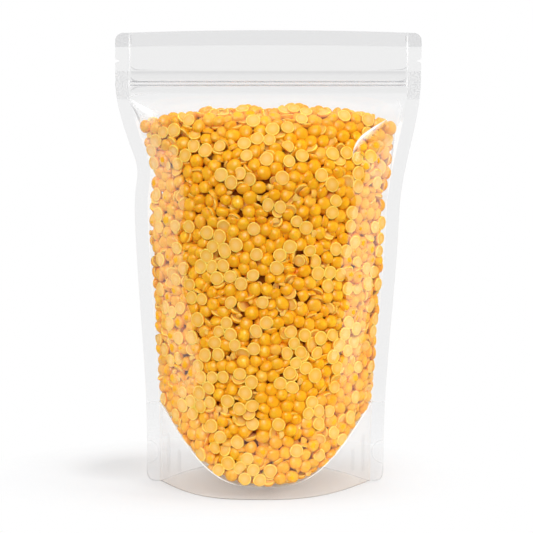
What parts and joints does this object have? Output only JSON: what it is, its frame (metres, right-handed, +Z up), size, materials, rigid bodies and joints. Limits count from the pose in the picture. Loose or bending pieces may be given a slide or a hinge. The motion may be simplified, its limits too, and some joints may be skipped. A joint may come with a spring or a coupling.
{
  "type": "stand-up pouch of yellow split peas",
  "caption": "Clear resealable stand-up pouch filled with yellow split peas: flat side seals, header with press-to-close strip and tear notches, full belly, opened gusset it stands on.",
  "frame": {"origin": "on the floor, under the middle of the pouch's bounding box", "axes": "+X to the pouch's right as seen from the front, +Y from its front to its back, +Z up"},
  "size_m": [0.1502, 0.0762, 0.2263],
  "materials": {
    "split_peas": "satin",
    "film": "clear gloss"
  },
  "bodies": {
    "root": {"pouch": "split_peas"}
  },
  "joints": []
}
